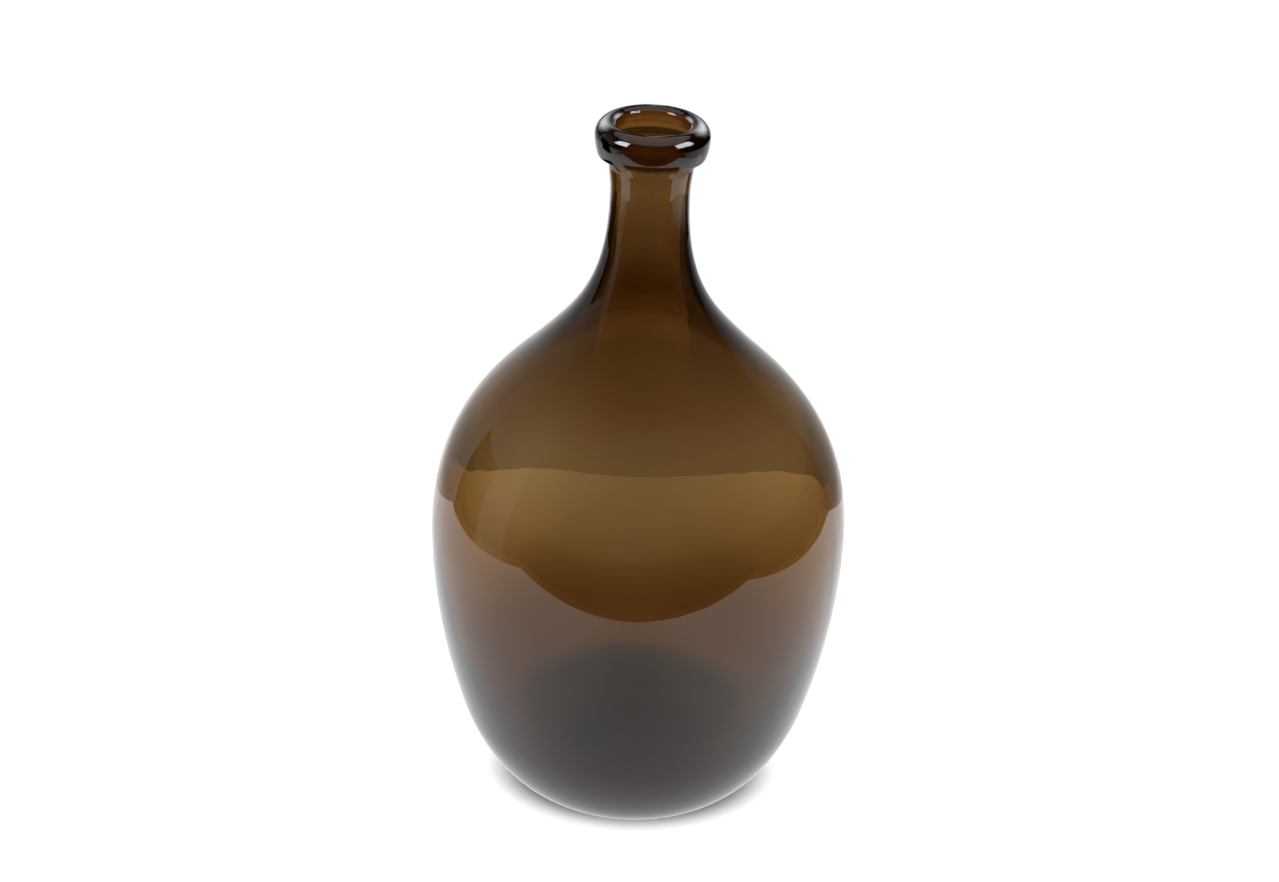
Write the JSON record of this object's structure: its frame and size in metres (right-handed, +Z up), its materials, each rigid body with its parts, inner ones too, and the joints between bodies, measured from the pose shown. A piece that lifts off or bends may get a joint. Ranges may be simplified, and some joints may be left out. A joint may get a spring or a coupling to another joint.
{
  "type": "glass vase",
  "caption": "Bottle-shaped vase of clear brown blown glass: wide rounded body, sloping shoulder, slim neck and a thick rounded lip ring.",
  "frame": {"origin": "centre of the foot, on the surface that the vase stands on", "axes": "+Z up along the vase's axis, out of the mouth; X and Y level, alike because the vase is round"},
  "size_m": [0.215, 0.215, 0.375],
  "materials": {
    "vessel_glass": "clear, fire-polished, deep brown",
    "ring_glass": "clear, fire-polished, darker because it is thick"
  },
  "bodies": {
    "root": {"blown_vessel": "vessel_glass", "applied_lip_ring": "ring_glass"}
  },
  "joints": []
}
